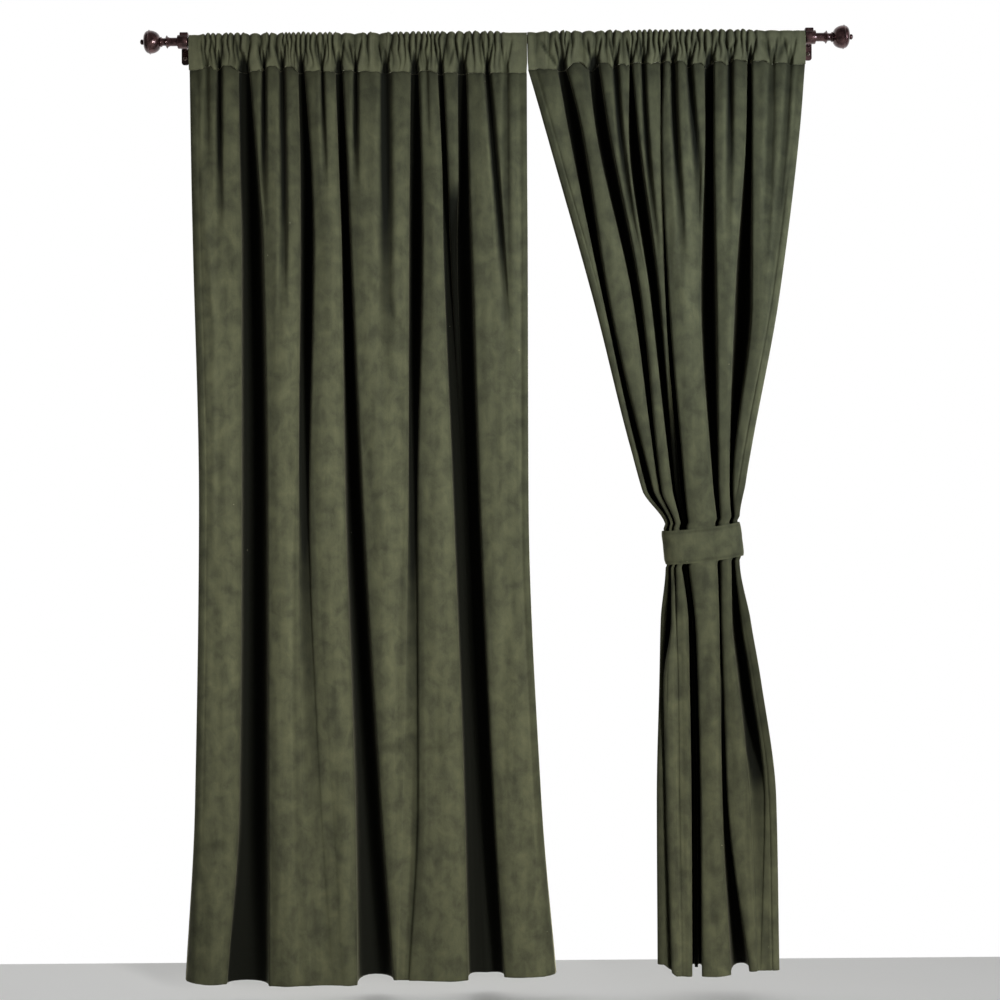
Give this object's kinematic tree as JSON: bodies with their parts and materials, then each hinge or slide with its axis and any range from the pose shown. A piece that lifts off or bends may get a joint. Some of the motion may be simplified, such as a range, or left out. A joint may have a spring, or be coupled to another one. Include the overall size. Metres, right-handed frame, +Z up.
{
  "type": "rod-pocket curtain panels on a curtain rod",
  "caption": "Velvet rod-pocket curtains gathered on a metal rod with ball finials and wall brackets, the left hanging straight and the right drawn aside by a tie band.",
  "frame": {"origin": "centre of the back face of the left bracket's wall plate, on the wall", "axes": "+X along the rod from the left bracket to the right one, +Y out of the room into the wall, +Z up"},
  "size_m": [1.6116, 0.1168, 2.1465],
  "materials": {
    "velvet": "matt short-pile velvet, olive green, with crushed and brushed patches",
    "bronze": "dark brown oil-rubbed bronze lacquer, satin",
    "screw_steel": "bronze-plated screw head, a little brighter than the plate"
  },
  "bodies": {
    "root": {"left_panel": "velvet", "right_panel": "velvet", "tieback": "velvet", "rod": "bronze", "finial_left": "bronze", "finial_right": "bronze", "bracket_left": "bronze", "bracket_right": "bronze", "screw_left": "screw_steel", "screw_right": "screw_steel"}
  },
  "joints": []
}
